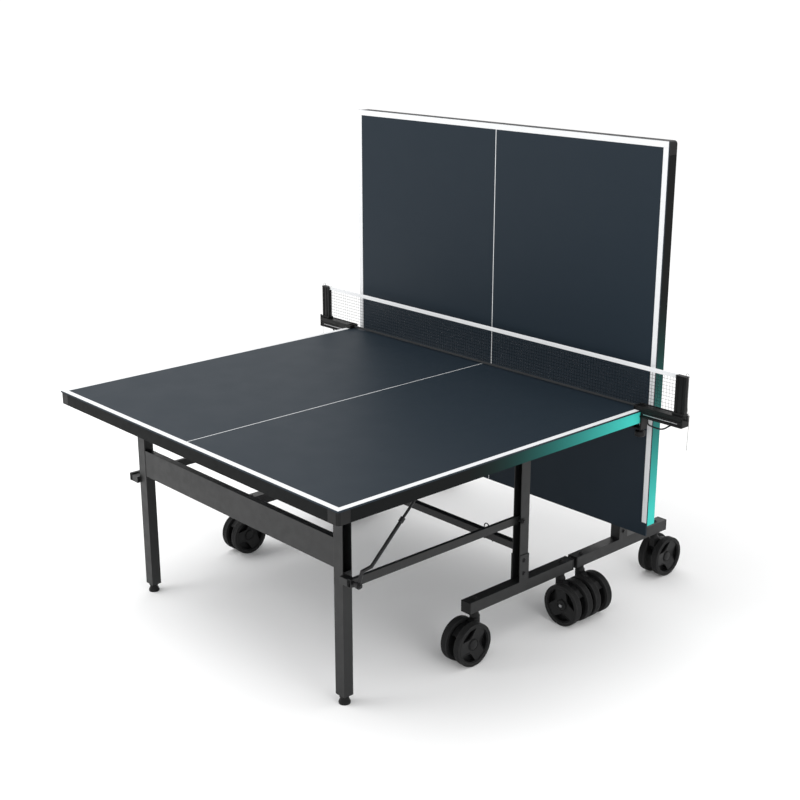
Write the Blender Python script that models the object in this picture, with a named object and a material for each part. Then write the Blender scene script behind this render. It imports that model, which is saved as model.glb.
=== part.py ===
"""Roll-away table-tennis table: two equal folding halves on twin-wheel castors, and a clamp-on net.

World frame: X across the table, Y along it, Z up, metres.  One half stands ready to play on.
The other has its board folded upright behind the net and its chassis rolled up close.

Each half is drawn once, in a half frame of its own: the net line is y = 0, the half reaches
towards -Y, and the floor is z = 0.  The second half is the same design turned half round.
"""
import bpy
import bmesh
from math import asin, atan2, cos, hypot, pi, radians, sin
from mathutils import Matrix

# ---------------------------------------------------------------- driving dimensions
TABLE_WIDTH = 1.525
HALF_LENGTH = 1.370
PLAY_HEIGHT = 0.760
BOARD_THICKNESS = 0.006
GAP = 0.0003                    # air left between pieces that bear on each other

# top frame, under the board
RAIL_DEPTH = 0.0455             # playing surface to the rail's lower edge
RAIL_WIDTH = 0.020
RAIL_WALL = 0.002
SIDE_RAIL_END = -0.036          # the deep side rails stop short of the net
SHALLOW_BAR = 0.0150            # height of bars that pass over the folding chassis
THIN_BAR = 0.0110
CORNER_PLATE = 0.0050           # plate at each net corner, where the net clamp grips
LONG_RAIL_X = (0.645, 0.665)    # pair of rails that carry the leg and upright pins
LONG_RAIL_END = -0.075
GUARD_LENGTH = 0.045            # plastic corner piece at each outer corner

# chassis: inverted-T side frames joined by one cross beam
CHASSIS_X = 0.613
CHASSIS_Y = -0.4575
BEAM_SIZE = 0.040
BEAM_LENGTH = 0.510
BEAM_BOTTOM = 0.178
BEAM_WALL = 0.0025
SOCKET_TOP = 0.313
UPRIGHT_TOP = 0.738
CROSS_BEAM_SIZE = 0.025
CROSS_BEAM_BOTTOM = 0.323

# legs
LEG_X = 0.543
LEG_Y = -1.1730                 # the pin sits a little behind this middle line
LEG_WIDTH = 0.042
LEG_DEPTH = 0.036
LEG_BOTTOM = 0.030
LEG_TOP = 0.738
LEG_OPEN_FROM = 0.453           # above this the outer wall is left out
APRON_BOTTOM = 0.457
APRON_TOP = 0.554
APRON_DEPTH = 0.024

# fold linkage, (y, z) of each pivot in the half frame with the board flat
TOP_PIVOT = (-0.4468, 0.7264)
LEG_PIVOT = (-1.1700, 0.7264)
STRUT_PIVOT = (-0.4673, 0.4360)
STRUT_LEG_PIVOT = (LEG_PIVOT[0] + STRUT_PIVOT[0] - TOP_PIVOT[0], STRUT_PIVOT[1])
STAY_ROLLER = 0.0125            # radius of the roller that runs under the long rail
STAY_HEAD = (-0.9050, PLAY_HEIGHT - RAIL_DEPTH - STAY_ROLLER - 0.0005)
PIN_RADIUS = 0.0060
HOLE_RADIUS = 0.0064
STRUT_X = 0.607
STRUT_WIDTH = 0.012
STRUT_HEIGHT = 0.0275
STAY_X = 0.6345                 # plane of the stay's centre line
STAY_TUBE = 0.0060
STAY_ROD = 0.0044
STAY_CRANK = ((0.0158, 0.0403), (0.0522, 0.0452))      # dog-leg of the stay, from its lower pin
STAY_COLLAR = 0.524             # place of the collar, as a share of the way to the head
FOLD = radians(90)

# castors
CASTOR_SPREAD = 0.2135          # stem to the middle of the beam
CASTOR_TRAIL = 0.040
WHEEL_RADIUS = 0.075
WHEEL_WIDTH = 0.027
WHEEL_GAP = 0.033
FORK_THICKNESS = 0.024
STEM_RADIUS = 0.011
AXLE_RADIUS = 0.0060
WHEEL_SIDES = 28

# net set, on the half that is ready to play on
NET_Y = -0.026
NET_HEIGHT = 0.1525
NET_THICKNESS = 0.002
POST_X = (0.896, 0.934)
POST_Y = (-0.041, -0.011)
ARM_X = (0.737, 0.936)
ARM_Y = (-0.046, -0.006)
ARM_TOP = 0.774
ARM_BOTTOM = 0.737
POST_TOP = 0.911
SCREW_X = 0.748
SCREW_Y = -0.017
CLEAT_X = 0.9445                # the cord's hook, outside the post
CORD_RADIUS = 0.001
CORD_ROUTE = (                  # (x, z) on the right side, from the post's top to the free end
    (0.9240, 0.9116), (0.9240, 0.9150), (0.9252, 0.9185), (0.9282, 0.9208), (0.9320, 0.9205),
    (0.9350, 0.9178), (0.9362, 0.9120), (0.9364, 0.9020), (0.9365, 0.8820), (0.9366, 0.8600),
    (0.9368, 0.8400), (0.9372, 0.8200), (0.9385, 0.8030), (0.9420, 0.7890), (0.9455, 0.7790),
    (0.9468, 0.7660), (0.9466, 0.7450), (0.9461, 0.7150), (0.9455, 0.6850), (0.9450, 0.6600),
)

# where the halves stand
FAR_SHIFT = -0.384              # the folded half's net line, rolled in from the play position
FAR_END = FAR_SHIFT - CHASSIS_Y + CASTOR_SPREAD + CASTOR_TRAIL + WHEEL_RADIUS
WORLD_NET_Y = (HALF_LENGTH - FAR_END) / 2           # middle of the whole object at y = 0

COLOURS = {
    "board": ((0.030, 0.040, 0.050), 0.35, 0.0),
    "frame": ((0.020, 0.021, 0.022), 0.45, 0.6),
    "plastic": ((0.012, 0.012, 0.013), 0.55, 0.0),
    "tyre": ((0.016, 0.016, 0.017), 0.70, 0.0),
    "steel": ((0.45, 0.45, 0.46), 0.35, 1.0),
    "mesh": ((0.05, 0.05, 0.055), 0.80, 0.0),
    "cord": ((0.80, 0.80, 0.78), 0.80, 0.0),
}


# ---------------------------------------------------------------- building blocks
def clear_scene():
    for thing in list(bpy.data.objects):
        bpy.data.objects.remove(thing, do_unlink=True)


def paint(slot):
    """The named finish as a material, made on first use."""
    found = bpy.data.materials.get(slot)
    if found:
        return found
    colour, roughness, metallic = COLOURS[slot]
    made = bpy.data.materials.new(slot)
    made.use_nodes = True
    shader = made.node_tree.nodes["Principled BSDF"]
    shader.inputs["Base Color"].default_value = (*colour, 1.0)
    shader.inputs["Roughness"].default_value = roughness
    shader.inputs["Metallic"].default_value = metallic
    return made


def new_object(name, bm):
    bmesh.ops.recalc_face_normals(bm, faces=bm.faces)
    mesh = bpy.data.meshes.new(name)
    bm.to_mesh(mesh)
    bm.free()
    made = bpy.data.objects.new(name, mesh)
    bpy.context.scene.collection.objects.link(made)
    return made


def prism(outline, axis, low, high):
    """A closed outline, in the two other axes' order, run from low to high along axis."""
    spot = {
        "X": lambda p, t: (t, p[0], p[1]),
        "Y": lambda p, t: (p[0], t, p[1]),
        "Z": lambda p, t: (p[0], p[1], t),
    }[axis]
    bm = bmesh.new()
    first = [bm.verts.new(spot(p, low)) for p in outline]
    last = [bm.verts.new(spot(p, high)) for p in outline]
    bm.faces.new(first)
    bm.faces.new(list(reversed(last)))
    for i, corner in enumerate(first):
        j = (i + 1) % len(first)
        bm.faces.new((first[j], corner, last[i], last[j]))
    return new_object("solid", bm)


def block(x, y, z):
    """A box from its three (low, high) ranges."""
    return prism(((x[0], y[0]), (x[1], y[0]), (x[1], y[1]), (x[0], y[1])), "Z", *z)


def rod(axis, centre, radius, low, high, sides=16):
    angles = [2 * pi * (i + 0.5) / sides for i in range(sides)]
    ring = [(centre[0] + radius * cos(a), centre[1] + radius * sin(a)) for a in angles]
    return prism(ring, axis, low, high)


def turned(profile, axis, sides):
    """A solid of revolution.  profile is (radius, place along axis); its ends are on the axis."""
    bm = bmesh.new()
    rings = []
    for radius, place in profile:
        if radius == 0:
            rings.append([bm.verts.new((0, place, 0) if axis == "Y" else (0, 0, place))])
            continue
        ring = []
        for i in range(sides):
            a = 2 * pi * (i + 0.5) / sides + pi / 2
            u, v = radius * cos(a), radius * sin(a)
            ring.append(bm.verts.new((u, place, v) if axis == "Y" else (u, v, place)))
        rings.append(ring)
    for near, far in zip(rings, rings[1:]):
        for i in range(sides):
            j = (i + 1) % sides
            if len(near) == 1:
                bm.faces.new((near[0], far[i], far[j]))
            elif len(far) == 1:
                bm.faces.new((near[i], near[j], far[0]))
            else:
                bm.faces.new((near[i], near[j], far[j], far[i]))
    return new_object("solid", bm)


def combine(base, others, operation):
    """base with the other solids joined on or cut away; the others are used up."""
    for other in others:
        step = base.modifiers.new(operation.lower(), "BOOLEAN")
        step.operation = operation
        step.object = other
    bpy.context.view_layer.update()
    graph = bpy.context.evaluated_depsgraph_get()
    result = bpy.data.meshes.new_from_object(base.evaluated_get(graph))
    base.modifiers.clear()
    base.data = result
    for other in others:
        bpy.data.objects.remove(other, do_unlink=True)
    return base


def fused(solids, cuts=()):
    base = solids[0]
    if len(solids) > 1:
        combine(base, solids[1:], "UNION")
    if cuts:
        combine(base, list(cuts), "DIFFERENCE")
    return base


def channel(outer_u, outer_v, wall, open_side):
    """Outline of a U section in the plane (u, v), open towards "+u", "-u", "+v" or "-v"."""
    (u0, u1), (v0, v1) = outer_u, outer_v
    if open_side[1] == "v":
        turned_round = channel(outer_v, outer_u, wall, open_side[0] + "u")
        return [(u, v) for v, u in turned_round]
    if open_side == "-u":
        return [(u0, v0), (u1, v0), (u1, v1), (u0, v1),
                (u0, v1 - wall), (u1 - wall, v1 - wall), (u1 - wall, v0 + wall), (u0, v0 + wall)]
    return [(u1, v0), (u1, v0 + wall), (u0 + wall, v0 + wall), (u0 + wall, v1 - wall),
            (u1, v1 - wall), (u1, v1), (u0, v1), (u0, v0)]


def square_tube(x, y, z, wall, axis):
    """A hollow bar, open at both ends along axis."""
    ranges = {"X": x, "Y": y, "Z": z}
    inner = {k: (r[0] + wall, r[1] - wall) for k, r in ranges.items()}
    inner[axis] = (ranges[axis][0] - 0.01, ranges[axis][1] + 0.01)
    return combine(block(x, y, z), [block(inner["X"], inner["Y"], inner["Z"])], "DIFFERENCE")


def bent_rod(path, x, radius, sides=12):
    """A round bar in the plane at x, mitred where its path of (y, z) points bends."""
    bm = bmesh.new()
    rings = []
    for i, here in enumerate(path):
        headings = [atan2(b[1] - a[1], b[0] - a[0]) for a, b in zip(path, path[1:])]
        into, out = headings[max(i - 1, 0)], headings[min(i, len(headings) - 1)]
        across = (into + out) / 2 + pi / 2
        reach = radius / cos((out - into) / 2)
        ring = []
        for k in range(sides):
            a = 2 * pi * (k + 0.5) / sides
            ring.append(bm.verts.new((x + radius * cos(a), here[0] + reach * sin(a) * cos(across),
                                      here[1] + reach * sin(a) * sin(across))))
        rings.append(ring)
    bm.faces.new(rings[0])
    bm.faces.new(rings[-1])
    for near, far in zip(rings, rings[1:]):
        for k in range(sides):
            j = (k + 1) % sides
            bm.faces.new((near[k], near[j], far[j], far[k]))
    return new_object("solid", bm)


def mirrored(x_range, side):
    """An x range on the right (side = 1) or the left (side = -1) of the middle."""
    return x_range if side > 0 else (-x_range[1], -x_range[0])


def empty(name, parent, location, spin=(0, 0, 0)):
    made = bpy.data.objects.new(name, None)
    bpy.context.scene.collection.objects.link(made)
    made.parent = parent
    made.location = location
    made.rotation_euler = spin
    return made


def place(made, name, slot, parent, origin):
    """Name a finished solid, give it its finish, and hang it on parent with origin at its pivot."""
    made.name = name
    made.data.name = name
    made.data.transform(Matrix.Translation((-origin[0], -origin[1], -origin[2])))
    made.data.materials.clear()
    made.data.materials.append(paint(slot))
    made.data.shade_smooth()
    made.data.set_sharp_from_angle(angle=radians(30))
    made.parent = parent
    return made


# ---------------------------------------------------------------- board and its frame
def make_board():
    half = TABLE_WIDTH / 2
    return block((-half, half), (-HALF_LENGTH, 0), (PLAY_HEIGHT - BOARD_THICKNESS, PLAY_HEIGHT))


def make_top_frame():
    """Deep rails round the outside, a shallow bar at the net, and the rails that carry the pins."""
    top = PLAY_HEIGHT - BOARD_THICKNESS - GAP
    low = PLAY_HEIGHT - RAIL_DEPTH
    half = TABLE_WIDTH / 2
    end = -HALF_LENGTH
    solids = [prism(channel((end, end + RAIL_WIDTH), (low, top), RAIL_WALL, "+u"),
                    "X", -half + 0.0005, half - 0.0005)]
    net_bar = (top - SHALLOW_BAR, top)
    thin_bar = (top - THIN_BAR, top)
    solids.append(block((-half + 0.032, half - 0.032), (-0.030, -0.006), net_bar))
    solids.append(block((-half + 0.01, half - 0.01), (-1.225, -1.200), (top - 0.025, top)))
    solids.append(block((-half + 0.01, half - 0.01), (-0.400, -0.375), thin_bar))
    cuts = []
    for side in (1, -1):
        rail_x = (half - RAIL_WIDTH, half)
        section = channel(rail_x, (low, top), RAIL_WALL, "-u")
        if side < 0:
            section = [(-x, z) for x, z in section]
        solids.append(prism(section, "Y", end + 0.0005, SIDE_RAIL_END))
        solids.append(block(mirrored((half - 0.060, half - 0.003), side), (-0.060, -0.004),
                            (top - CORNER_PLATE, top)))
        long_x = mirrored(LONG_RAIL_X, side)
        solids.append(square_tube(long_x, (end + 0.001, LONG_RAIL_END), (low, top),
                                  RAIL_WALL, "Y"))
        solids.append(block(long_x, (LONG_RAIL_END - 0.005, -0.028), net_bar))
        for bar_y in (-0.920, -0.560):
            solids.append(block(mirrored((LONG_RAIL_X[1] - 0.001, half - 0.015), side),
                                (bar_y, bar_y + 0.025), thin_bar))
        cuts.append(block(mirrored((half - GUARD_LENGTH - GAP, half + 0.01), side),
                          (end - 0.01, end + GUARD_LENGTH + GAP), (low - 0.01, top + 0.01)))
        through = mirrored((LONG_RAIL_X[0] - 0.01, LONG_RAIL_X[1] + 0.004), side)
        for pivot in (TOP_PIVOT, LEG_PIVOT):
            cuts.append(rod("X", pivot, HOLE_RADIUS, *through))
    return fused(solids, cuts)


def make_corner_guard(side):
    """An angle piece that closes the rails' outer corner, with a rounded outer edge."""
    top = PLAY_HEIGHT - BOARD_THICKNESS - GAP
    low = PLAY_HEIGHT - RAIL_DEPTH
    half = TABLE_WIDTH / 2
    end = -HALF_LENGTH
    inner = GUARD_LENGTH - RAIL_WIDTH
    outline = [(half - GUARD_LENGTH, end), (half - 0.010, end), (half - 0.003, end + 0.003),
               (half, end + 0.010), (half, end + GUARD_LENGTH), (half - RAIL_WIDTH, end + GUARD_LENGTH),
               (half - RAIL_WIDTH, end + GUARD_LENGTH - inner),
               (half - GUARD_LENGTH, end + GUARD_LENGTH - inner)]
    return prism([(side * x, y) for x, y in outline], "Z", low, top)


# ---------------------------------------------------------------- legs
def make_leg(side):
    """A rectangular tube whose outer wall stops below the linkage, with its two pins."""
    x = (LEG_X - LEG_WIDTH / 2, LEG_X + LEG_WIDTH / 2)
    y = (LEG_Y - LEG_DEPTH / 2, LEG_Y + LEG_DEPTH / 2)
    wall = 0.002
    plug = 0.004
    body = block(mirrored(x, side), y, (LEG_BOTTOM, LEG_TOP))
    hollow = block(mirrored((x[0] + wall, x[1] - wall), side), (y[0] + wall, y[1] - wall),
                   (LEG_BOTTOM + plug, LEG_TOP + 0.01))
    opening = block(mirrored((x[1] - 0.01, x[1] + 0.01), side), (y[0] + wall, y[1] - wall),
                    (LEG_OPEN_FROM, LEG_TOP + 0.01))
    stem_hole = rod("Z", (side * LEG_X, LEG_Y), 0.0065, LEG_BOTTOM - 0.01,
                    LEG_BOTTOM + plug + 0.01)
    shell = fused([body], [hollow, opening, stem_hole])
    top_pin = rod("X", LEG_PIVOT, PIN_RADIUS, *mirrored((x[0] + 0.001, LONG_RAIL_X[1]), side))
    spacer_end = STRUT_X - STRUT_WIDTH / 2 - 0.0005
    spacer = rod("X", STRUT_LEG_PIVOT, 0.0085, *mirrored((x[1] - 0.001, spacer_end), side))
    link_end = STAY_X + STAY_TUBE + 0.0035 if side > 0 else STRUT_X + STRUT_WIDTH / 2 + 0.0035
    link_pin = rod("X", STRUT_LEG_PIVOT, PIN_RADIUS,
                   *mirrored((spacer_end - 0.004, link_end), side))
    washer = rod("X", STRUT_LEG_PIVOT, 0.0085,
                 *mirrored((link_end - 0.0030, link_end), side))
    pin_y, pin_z = STRUT_LEG_PIVOT
    bracket = block(mirrored((x[1] - 0.001, x[1] + 0.033), side), (pin_y - 0.012, pin_y + 0.012),
                    (pin_z - 0.013, pin_z + 0.010))
    return fused([shell, bracket, top_pin, spacer, link_pin, washer])


def make_apron():
    """A channel-section panel between the legs, open towards the net."""
    front = LEG_Y - LEG_DEPTH / 2 + 0.001
    y = (front, front + APRON_DEPTH)
    reach = LEG_X - LEG_WIDTH / 2 - GAP
    return prism(channel(y, (APRON_BOTTOM, APRON_TOP), 0.002, "+u"), "X", -reach, reach)


def make_foot():
    """A bell-shaped levelling foot on its threaded stem; the stem runs up inside the leg."""
    profile = ((0, 0), (0.0190, 0), (0.0195, 0.005), (0.0160, 0.013), (0.0130, 0.021),
               (0.0140, 0.027), (0.0130, LEG_BOTTOM - GAP), (0.0058, LEG_BOTTOM - GAP),
               (0.0058, 0.070), (0, 0.070))
    return turned(profile, "Z", 16)


# ---------------------------------------------------------------- linkage
def make_strut(side):
    x = mirrored((STRUT_X - STRUT_WIDTH / 2, STRUT_X + STRUT_WIDTH / 2), side)
    y = (STRUT_LEG_PIVOT[0] - 0.012, STRUT_PIVOT[0] + 0.010)
    z = (STRUT_PIVOT[1] - STRUT_HEIGHT / 2, STRUT_PIVOT[1] + STRUT_HEIGHT / 2)
    tube = square_tube(x, y, z, 0.0015, "Y")
    cuts = [rod("X", pivot, HOLE_RADIUS, x[0] - 0.01, x[1] + 0.01)
            for pivot in (STRUT_PIVOT, STRUT_LEG_PIVOT)]
    return fused([tube], cuts)


def stay_swing():
    """How far the stay turns on the leg in a full fold.

    With the board upright the stay lies along the long rail, its roller still on the rail's
    underside, which is at the same height in the board's own frame.
    """
    reach = (STAY_HEAD[0] - STRUT_LEG_PIVOT[0], STAY_HEAD[1] - STRUT_LEG_PIVOT[1])
    folded_pin = LEG_PIVOT[1] + STRUT_LEG_PIVOT[0] - LEG_PIVOT[0]
    lift = asin((STAY_HEAD[1] - folded_pin) / hypot(*reach))
    return atan2(reach[1], reach[0]) + pi / 2 - lift


STAY_TURN = stay_swing()


def make_stay():
    """A tube with a dog-leg, a collar, a thinner rod, and a roller at its head."""
    foot = STRUT_LEG_PIVOT
    crank = [(foot[0] + dy, foot[1] + dz) for dy, dz in STAY_CRANK]
    turn = crank[-1]
    collar = [tuple(a + (b - a) * (STAY_COLLAR + offset) for a, b in zip(turn, STAY_HEAD))
              for offset in (-0.025, -0.005, 0.005, 0.025)]
    solids = [
        bent_rod([foot] + crank + [collar[2]], STAY_X, STAY_TUBE),
        bent_rod([collar[1], STAY_HEAD], STAY_X, STAY_ROD),
        bent_rod([collar[0], collar[3]], STAY_X, STAY_TUBE + 0.0022),
        rod("X", foot, 0.0110, STAY_X - STAY_TUBE + 0.0005, STAY_X + STAY_TUBE - 0.0005),
        rod("X", STAY_HEAD, 0.0080, STAY_X - 0.005, STAY_X + 0.006),
        rod("X", STAY_HEAD, 0.0045, STAY_X, LONG_RAIL_X[1] - 0.001),
        rod("X", STAY_HEAD, STAY_ROLLER, LONG_RAIL_X[0] + 0.002, LONG_RAIL_X[1] - 0.002),
    ]
    return fused(solids, [rod("X", foot, HOLE_RADIUS, STAY_X - 0.02, STAY_X + 0.02)])


# ---------------------------------------------------------------- chassis
def make_upright(side):
    """A channel open towards the outer end, with the board's pin and the strut's pin."""
    half = BEAM_SIZE / 2 - BEAM_WALL - GAP
    x = mirrored((CHASSIS_X - half, CHASSIS_X + half), side)
    y = (CHASSIS_Y - BEAM_SIZE / 2, CHASSIS_Y + BEAM_SIZE / 2)
    body = prism(channel(x, y, BEAM_WALL, "-v"), "Z", BEAM_BOTTOM + BEAM_SIZE + GAP, UPRIGHT_TOP)
    inside = CHASSIS_X - half + 0.001
    top_pin = rod("X", TOP_PIVOT, PIN_RADIUS, *mirrored((inside, LONG_RAIL_X[1]), side))
    strut_pin = rod("X", STRUT_PIVOT, PIN_RADIUS,
                    *mirrored((inside, CHASSIS_X + half + 0.003), side))
    return fused([body, top_pin, strut_pin])


def make_base_beam(side):
    """A square tube on two castors, with the welded socket that holds the upright."""
    x0, x1 = mirrored((CHASSIS_X - BEAM_SIZE / 2, CHASSIS_X + BEAM_SIZE / 2), side)
    y = (CHASSIS_Y - BEAM_LENGTH / 2, CHASSIS_Y + BEAM_LENGTH / 2)
    top = BEAM_BOTTOM + BEAM_SIZE
    tube = square_tube((x0, x1), y, (BEAM_BOTTOM, top), BEAM_WALL, "Y")
    back = CHASSIS_Y + BEAM_SIZE / 2 + GAP
    socket = channel((x0, x1), (CHASSIS_Y - BEAM_SIZE / 2 - 0.002, back + BEAM_WALL),
                     BEAM_WALL, "-v")
    return fused([tube, prism(socket, "Z", top - 0.001, SOCKET_TOP)])


def make_cross_beam():
    reach = CHASSIS_X - BEAM_SIZE / 2 + BEAM_WALL
    half = CROSS_BEAM_SIZE / 2
    return square_tube((-reach, reach), (CHASSIS_Y - half, CHASSIS_Y + half),
                       (CROSS_BEAM_BOTTOM, CROSS_BEAM_BOTTOM + CROSS_BEAM_SIZE), 0.002, "X")


# ---------------------------------------------------------------- castors
def make_fork():
    """Swivel stem and hooded fork between the wheels.  The stem stands on x = y = 0, the axle
    lies along Y, and the wheels trail towards +X."""
    hub = (CASTOR_TRAIL, WHEEL_RADIUS)
    hood = [radians(a) for a in (100, 80, 60, 35)]
    outline = [(-0.012, 0.150), (0.012, 0.150)]
    outline += [(hub[0] + 0.066 * cos(a), hub[1] + 0.066 * sin(a)) for a in hood]
    outline += [(hub[0] + 0.018 * cos(radians(a)), hub[1] + 0.018 * sin(radians(a)))
                for a in range(0, -181, -30)]
    outline.append((-0.012, 0.120))
    half = FORK_THICKNESS / 2
    plate = prism(outline, "Y", -half, half)
    stem = rod("Z", (0, 0), STEM_RADIUS, 0.130, BEAM_BOTTOM - GAP)
    axle_hole = rod("Y", hub, AXLE_RADIUS + 0.0003, -half - 0.01, half + 0.01)
    return fused([plate, stem], [axle_hole])


def make_wheelset():
    """Two wheels on one axle along Y, about the origin.  A flat of each rim faces the floor."""
    stretch = 1 / cos(pi / WHEEL_SIDES)
    inner = WHEEL_GAP / 2
    outer = inner + WHEEL_WIDTH
    half = [(0, outer), (0.069, outer), (WHEEL_RADIUS * stretch, outer - 0.004),
            (WHEEL_RADIUS * stretch, inner + 0.004), (0.069, inner), (AXLE_RADIUS, inner)]
    return turned(half + [(r, -w) for r, w in reversed(half)], "Y", WHEEL_SIDES)


# ---------------------------------------------------------------- net set
def make_net_post(side):
    """Clamp bracket, arm and post in one.  The bracket grips the rail at the net corner."""
    edge = TABLE_WIDTH / 2
    jaw = PLAY_HEIGHT - RAIL_DEPTH - 0.024
    solids = [
        block(mirrored(ARM_X, side), ARM_Y, (PLAY_HEIGHT + GAP, ARM_TOP)),
        block(mirrored((edge + 0.001, ARM_X[1]), side), ARM_Y, (ARM_BOTTOM, ARM_TOP - 0.001)),
        block(mirrored((edge + 0.001, edge + 0.007), side), (ARM_Y[0] + 0.004, ARM_Y[1] - 0.004),
              (jaw, ARM_BOTTOM + 0.002)),
        block(mirrored((edge - 0.038, edge + 0.006), side), (ARM_Y[0] + 0.005, ARM_Y[1] - 0.001),
              (jaw - 0.0005, jaw + 0.005)),
        block(mirrored(POST_X, side), POST_Y, (ARM_BOTTOM + 0.001, POST_TOP)),
        block(mirrored((ARM_X[1] - 0.001, CLEAT_X + 0.004), side), (-0.036, -0.030),
              (0.763, 0.769)),
        block(mirrored((CLEAT_X, CLEAT_X + 0.004), side), (-0.036, -0.030), (0.764, 0.784)),
    ]
    hole = rod("Z", (side * SCREW_X, SCREW_Y), 0.0044, jaw - 0.01, jaw + 0.015)
    return fused(solids, [hole])


def make_clamp_screw():
    """Screw with a pressure pad above and a hand knob below, about x = y = 0."""
    pad_top = PLAY_HEIGHT - BOARD_THICKNESS - GAP - CORNER_PLATE - GAP
    profile = ((0, 0.660), (0.015, 0.660), (0.018, 0.663), (0.018, 0.678), (0.012, 0.683),
               (0.0040, 0.683), (0.0040, pad_top - 0.005), (0.0085, pad_top - 0.004),
               (0.0085, pad_top), (0, pad_top))
    return turned(profile, "Z", 16)


def make_net():
    """The stretched net as one thin sheet, stepped up over the two arms."""
    over_arm = ARM_TOP + 0.0005
    reach = POST_X[0] - 0.0005
    step = ARM_X[0] - 0.0005
    low, high = PLAY_HEIGHT + 0.002, PLAY_HEIGHT + NET_HEIGHT
    outline = [(-reach, over_arm), (-step, over_arm), (-step, low), (step, low),
               (step, over_arm), (reach, over_arm), (reach, high), (-reach, high)]
    return prism(outline, "Y", NET_Y - NET_THICKNESS / 2, NET_Y + NET_THICKNESS / 2)


def make_cord(side):
    """Tensioning cord: over the post's top, down outside it and past the cleat to a free end."""
    curve = bpy.data.curves.new("cord", "CURVE")
    curve.dimensions = "3D"
    curve.bevel_depth = CORD_RADIUS
    curve.bevel_resolution = 2
    curve.use_fill_caps = True
    route = [(side * x, NET_Y + 0.002, z) for x, z in CORD_ROUTE]
    points = smooth_route(route, 3)
    spline = curve.splines.new("POLY")
    spline.points.add(len(points) - 1)
    for knot, point in zip(spline.points, points):
        knot.co = (*point, 1)
    made = bpy.data.objects.new("cord", curve)
    bpy.context.scene.collection.objects.link(made)
    bpy.context.view_layer.update()
    mesh = bpy.data.meshes.new_from_object(made.evaluated_get(bpy.context.evaluated_depsgraph_get()))
    bpy.data.objects.remove(made, do_unlink=True)
    solid = bpy.data.objects.new("cord", mesh)
    bpy.context.scene.collection.objects.link(solid)
    return solid


def smooth_route(points, steps):
    """Points along a Catmull-Rom curve through the route."""
    dense = []
    for i in range(len(points) - 1):
        p = [points[max(0, min(len(points) - 1, i + k))] for k in (-1, 0, 1, 2)]
        for s in range(steps):
            t = s / steps
            dense.append(tuple(
                0.5 * (2 * b + (c - a) * t + (2 * a - 5 * b + 4 * c - d) * t * t
                       + (3 * b - a - 3 * c + d) * t ** 3)
                for a, b, c, d in zip(*p)))
    dense.append(points[-1])
    return dense


# ---------------------------------------------------------------- assembly
def build_half(prefix, root, fold, headings):
    """One half on the empty root.  fold is how far its board is turned up; headings gives the
    direction each castor trails, by (side, end), in the half frame."""
    world_side = 1 if abs(root.rotation_euler.z) < 0.1 else -1
    share = fold / FOLD

    def pivot(name, parent, at, seen_from, turn):
        return empty(f"{prefix}_{name}", parent,
                     (0, at[0] - seen_from[0], at[1] - seen_from[1]), (turn, 0, 0))

    def hang(made, name, slot, parent, at=(0, 0)):
        return place(made, f"{prefix}_{name}", slot, parent, (0, at[0], at[1]))

    board_axis = pivot("board_axis", root, TOP_PIVOT, (0, 0), -fold)
    leg_axis = pivot("leg_axis", board_axis, LEG_PIVOT, TOP_PIVOT, fold)
    strut_axis = pivot("strut_axis", root, STRUT_PIVOT, (0, 0), -fold)
    stay_axis = pivot("stay_axis", leg_axis, STRUT_LEG_PIVOT, LEG_PIVOT, -STAY_TURN * share)

    hang(make_board(), "board", "board", board_axis, TOP_PIVOT)
    hang(make_top_frame(), "top_frame", "frame", board_axis, TOP_PIVOT)
    hang(make_apron(), "leg_apron", "frame", leg_axis, LEG_PIVOT)
    hang(make_cross_beam(), "cross_beam", "frame", root)
    for side in (1, -1):
        hand = "right" if side * world_side > 0 else "left"
        hang(make_leg(side), f"{hand}_leg", "frame", leg_axis, LEG_PIVOT)
        foot_axis = empty(f"{prefix}_{hand}_foot_axis", leg_axis,
                          (side * LEG_X, LEG_Y - LEG_PIVOT[0], -LEG_PIVOT[1]))
        hang(make_foot(), f"{hand}_foot", "plastic", foot_axis)
        hang(make_strut(side), f"{hand}_strut", "frame", strut_axis, STRUT_PIVOT)
        if side > 0:
            hang(make_stay(), f"{hand}_stay", "steel", stay_axis, STRUT_LEG_PIVOT)
        hang(make_corner_guard(side), f"{hand}_corner_guard", "plastic", board_axis, TOP_PIVOT)
        hang(make_upright(side), f"{hand}_upright", "frame", root)
        hang(make_base_beam(side), f"{hand}_base_beam", "frame", root)
        for end, place_name in ((-1, "outer"), (1, "inner")):
            name = f"{hand}_{place_name}"
            swivel = empty(f"{prefix}_{name}_swivel", root,
                           (side * CHASSIS_X, CHASSIS_Y + end * CASTOR_SPREAD, 0),
                           (0, 0, headings[side, end]))
            axle = empty(f"{prefix}_{name}_axle", swivel, (CASTOR_TRAIL, 0, WHEEL_RADIUS))
            hang(make_fork(), f"{name}_fork", "plastic", swivel)
            hang(make_wheelset(), f"{name}_wheels", "tyre", axle)
    return board_axis


def build_net(board_axis):
    at = (0, *TOP_PIVOT)
    place(make_net(), "net", "mesh", board_axis, at)
    for side, hand in ((1, "right"), (-1, "left")):
        place(make_net_post(side), f"{hand}_net_post", "plastic", board_axis, at)
        screw_axis = empty(f"{hand}_screw_axis", board_axis,
                           (side * SCREW_X, SCREW_Y - TOP_PIVOT[0], -TOP_PIVOT[1]))
        place(make_clamp_screw(), f"{hand}_clamp_screw", "steel", screw_axis, (0, 0, 0))
        place(make_cord(side), f"{hand}_net_cord", "cord", board_axis, at)


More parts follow.
